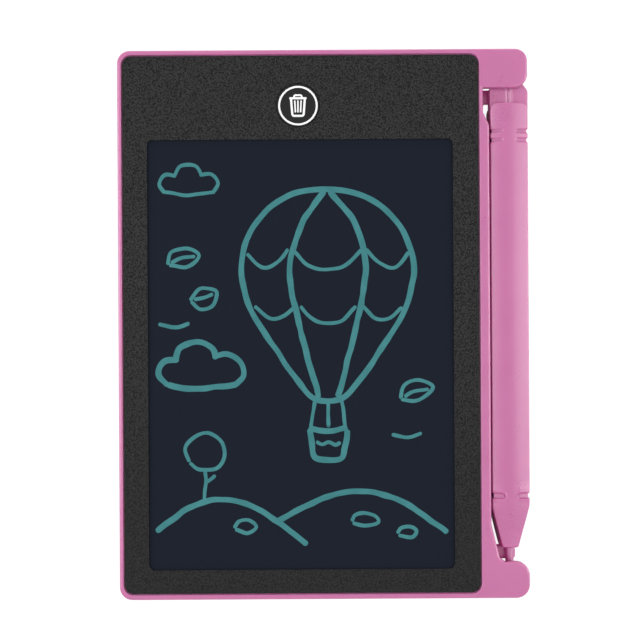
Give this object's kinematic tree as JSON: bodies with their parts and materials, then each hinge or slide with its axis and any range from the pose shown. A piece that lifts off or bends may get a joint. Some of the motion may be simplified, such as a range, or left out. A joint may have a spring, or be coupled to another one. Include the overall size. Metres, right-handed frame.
{
  "type": "lcd writing tablet",
  "caption": "Pocket LCD writing tablet: flat pink housing, black textured panel with a dark writing window, round erase button, and a stylus held in a slot along the right side.",
  "frame": {"origin": "middle of the tablet's footprint, on its rear face", "axes": "+X to the side that holds the stylus, +Y along the length to the end with the erase button, +Z out of the screen"},
  "size_m": [0.0874, 0.1164, 0.007],
  "materials": {
    "pink_plastic": "moulded pink plastic, fine satin texture with softly rounded edges",
    "black_panel": "black plastic with a fine pebbled grain, white printed ring and bin sign on the button",
    "writing_film": "dark blue-black liquid-crystal film, smooth, low gloss, with a teal line drawing",
    "black_sheet": "matt black backing sheet",
    "adhesive_tape": "thin double-sided tape",
    "white_plastic": "plain stiff sheet",
    "foam": "open-cell foam strip",
    "black_component": "moulded component body",
    "steel": "bright plated steel",
    "switch_plunger": "moulded plunger",
    "board_laminate": "glass laminate with green solder mask",
    "ferrite": "grey ferrite",
    "capacitor": "tan ceramic chip",
    "ribbon": "amber flat flexible lead",
    "spring_metal": "nickel-plated sprung strip"
  },
  "bodies": {
    "tablet": {"rear_housing": "pink_plastic", "front_panel": "black_panel", "film_tape": "adhesive_tape", "lcd_film": "writing_film", "backing_sheet": "black_sheet", "support_plate": "white_plastic", "foam_strip_left": "foam", "foam_strip_right": "foam", "switch_body": "black_component", "switch_cover": "steel", "circuit_board": "board_laminate", "board_screw_1": "steel", "board_screw_2": "steel", "driver_chip": "black_component", "inductor": "ferrite", "capacitor_1": "capacitor", "capacitor_2": "capacitor", "capacitor_3": "capacitor", "film_ribbon": "ribbon", "cell_can": "steel", "cell_gasket": "black_component", "cell_cap": "steel", "positive_contact": "spring_metal", "negative_contact": "spring_metal", "battery_cover": "pink_plastic", "battery_cover_screw": "steel"},
    "button": {"erase_button": "black_panel"},
    "plunger": {"switch_plunger": "switch_plunger"},
    "stylus": {"stylus_barrel": "pink_plastic", "stylus_nib": "pink_plastic"}
  },
  "joints": [
    {"name": "erase_press", "type": "slide", "parent": "tablet", "child": "button", "axis": [0, 0, -1], "range_m": [0, 0.0003], "stiffness_N_per_m": 4000},
    {"name": "plunger_press", "type": "slide", "parent": "tablet", "child": "plunger", "axis": [0, 0, -1], "range_m": [0, 0.0003]},
    {"name": "stylus_slide", "type": "slide", "parent": "tablet", "child": "stylus", "axis": [1, 0, 0], "range_m": [0, 0.012]}
  ],
  "couplings": [
    {"joint": "plunger_press", "follows": "erase_press", "ratio": 1}
  ]
}
